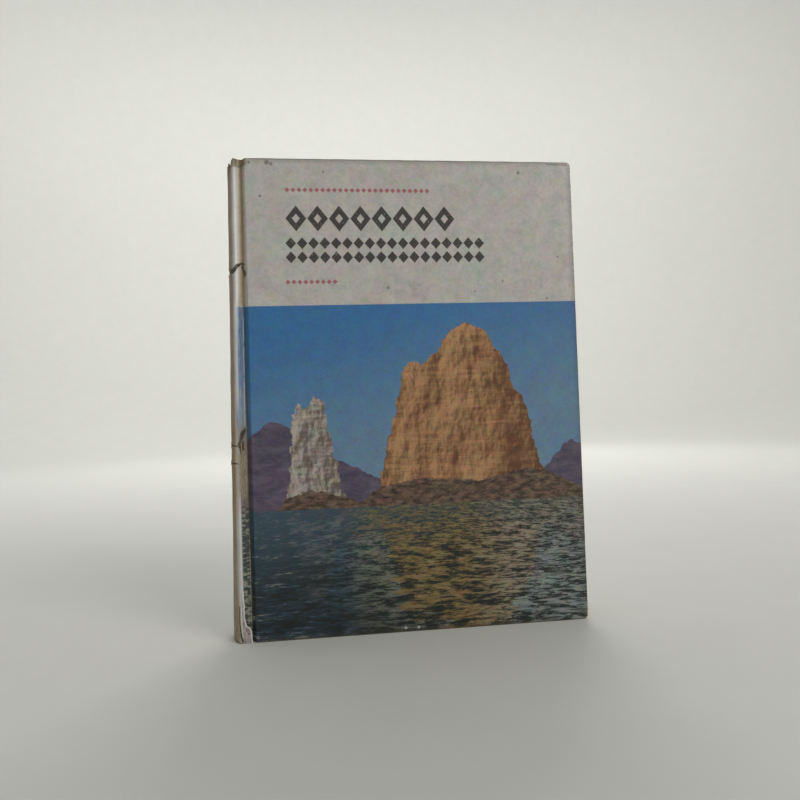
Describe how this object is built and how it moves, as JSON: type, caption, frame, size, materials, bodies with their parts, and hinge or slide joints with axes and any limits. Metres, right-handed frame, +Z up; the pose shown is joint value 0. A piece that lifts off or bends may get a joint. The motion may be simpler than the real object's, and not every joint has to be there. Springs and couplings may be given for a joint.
{
  "type": "hardcover book",
  "caption": "Worn case-bound book with a rounded spine, standing closed on its tail; both covers swing open and the leaves fan out after them.",
  "frame": {"origin": "on the floor below the middle of the closed book", "axes": "+X from the spine to the fore-edge, +Y from the front cover to the back cover, +Z up from tail to head"},
  "size_m": [0.15, 0.02, 0.2],
  "materials": {
    "printed_board": "grey board under printed paper with a glossy film",
    "printed_paper": "printed paper with a glossy film, cracked at the joints",
    "endpaper": "toned uncoated paper",
    "leaf_paper": "bulky uncoated paper, browned at the edges",
    "mull": "open-weave cotton stiffened with glue"
  },
  "bodies": {
    "book_block": {"spine_strip": "printed_paper", "spine_lining": "mull", "front_joint": "printed_paper", "back_joint": "printed_paper", "front_endpaper_fold": "endpaper", "back_endpaper_fold": "endpaper", "front_sewn_folds": "leaf_paper", "back_sewn_folds": "leaf_paper", "section_06": "leaf_paper", "section_07": "leaf_paper"},
    "front_cover": {"front_board": "printed_board", "front_pastedown": "endpaper"},
    "front_flyleaf": {"front_flyleaf": "endpaper"},
    "section_01": {"section_01": "leaf_paper"},
    "section_02": {"section_02": "leaf_paper"},
    "section_03": {"section_03": "leaf_paper"},
    "section_04": {"section_04": "leaf_paper"},
    "section_05": {"section_05": "leaf_paper"},
    "section_08": {"section_08": "leaf_paper"},
    "section_09": {"section_09": "leaf_paper"},
    "section_10": {"section_10": "leaf_paper"},
    "section_11": {"section_11": "leaf_paper"},
    "section_12": {"section_12": "leaf_paper"},
    "back_flyleaf": {"back_flyleaf": "endpaper"},
    "back_cover": {"back_board": "printed_board", "back_pastedown": "endpaper"}
  },
  "joints": [
    {"name": "front_cover_swing", "type": "hinge", "parent": "book_block", "child": "front_cover", "pos_m": [-0.0678, -0.0103, 0], "axis": [0, 0, -1], "range_deg": [0, 175]},
    {"name": "front_flyleaf_turn", "type": "hinge", "parent": "book_block", "child": "front_flyleaf", "pos_m": [-0.0678, -0.0103, 0], "axis": [0, 0, -1], "range_deg": [0, 164.5]},
    {"name": "section_01_turn", "type": "hinge", "parent": "book_block", "child": "section_01", "pos_m": [-0.0678, -0.0103, 0], "axis": [0, 0, -1], "range_deg": [0, 140]},
    {"name": "section_02_turn", "type": "hinge", "parent": "book_block", "child": "section_02", "pos_m": [-0.0678, -0.0103, 0], "axis": [0, 0, -1], "range_deg": [0, 115.5]},
    {"name": "section_03_turn", "type": "hinge", "parent": "book_block", "child": "section_03", "pos_m": [-0.0678, -0.0103, 0], "axis": [0, 0, -1], "range_deg": [0, 87.5]},
    {"name": "section_04_turn", "type": "hinge", "parent": "book_block", "child": "section_04", "pos_m": [-0.0678, -0.0103, 0], "axis": [0, 0, -1], "range_deg": [0, 59.5]},
    {"name": "section_05_turn", "type": "hinge", "parent": "book_block", "child": "section_05", "pos_m": [-0.0678, -0.0103, 0], "axis": [0, 0, -1], "range_deg": [0, 31.5]},
    {"name": "back_cover_swing", "type": "hinge", "parent": "book_block", "child": "back_cover", "pos_m": [-0.0678, 0.0103, 0], "axis": [0, 0, 1], "range_deg": [0, 175]},
    {"name": "back_flyleaf_turn", "type": "hinge", "parent": "book_block", "child": "back_flyleaf", "pos_m": [-0.0678, 0.0103, 0], "axis": [0, 0, 1], "range_deg": [0, 164.5]},
    {"name": "section_12_turn", "type": "hinge", "parent": "book_block", "child": "section_12", "pos_m": [-0.0678, 0.0103, 0], "axis": [0, 0, 1], "range_deg": [0, 140]},
    {"name": "section_11_turn", "type": "hinge", "parent": "book_block", "child": "section_11", "pos_m": [-0.0678, 0.0103, 0], "axis": [0, 0, 1], "range_deg": [0, 115.5]},
    {"name": "section_10_turn", "type": "hinge", "parent": "book_block", "child": "section_10", "pos_m": [-0.0678, 0.0103, 0], "axis": [0, 0, 1], "range_deg": [0, 87.5]},
    {"name": "section_09_turn", "type": "hinge", "parent": "book_block", "child": "section_09", "pos_m": [-0.0678, 0.0103, 0], "axis": [0, 0, 1], "range_deg": [0, 59.5]},
    {"name": "section_08_turn", "type": "hinge", "parent": "book_block", "child": "section_08", "pos_m": [-0.0678, 0.0103, 0], "axis": [0, 0, 1], "range_deg": [0, 31.5]}
  ],
  "couplings": [
    {"joint": "front_flyleaf_turn", "follows": "front_cover_swing", "ratio": 0.94},
    {"joint": "section_01_turn", "follows": "front_cover_swing", "ratio": 0.8},
    {"joint": "section_02_turn", "follows": "front_cover_swing", "ratio": 0.66},
    {"joint": "section_03_turn", "follows": "front_cover_swing", "ratio": 0.5},
    {"joint": "section_04_turn", "follows": "front_cover_swing", "ratio": 0.34},
    {"joint": "section_05_turn", "follows": "front_cover_swing", "ratio": 0.18},
    {"joint": "back_flyleaf_turn", "follows": "back_cover_swing", "ratio": 0.94},
    {"joint": "section_12_turn", "follows": "back_cover_swing", "ratio": 0.8},
    {"joint": "section_11_turn", "follows": "back_cover_swing", "ratio": 0.66},
    {"joint": "section_10_turn", "follows": "back_cover_swing", "ratio": 0.5},
    {"joint": "section_09_turn", "follows": "back_cover_swing", "ratio": 0.34},
    {"joint": "section_08_turn", "follows": "back_cover_swing", "ratio": 0.18}
  ]
}
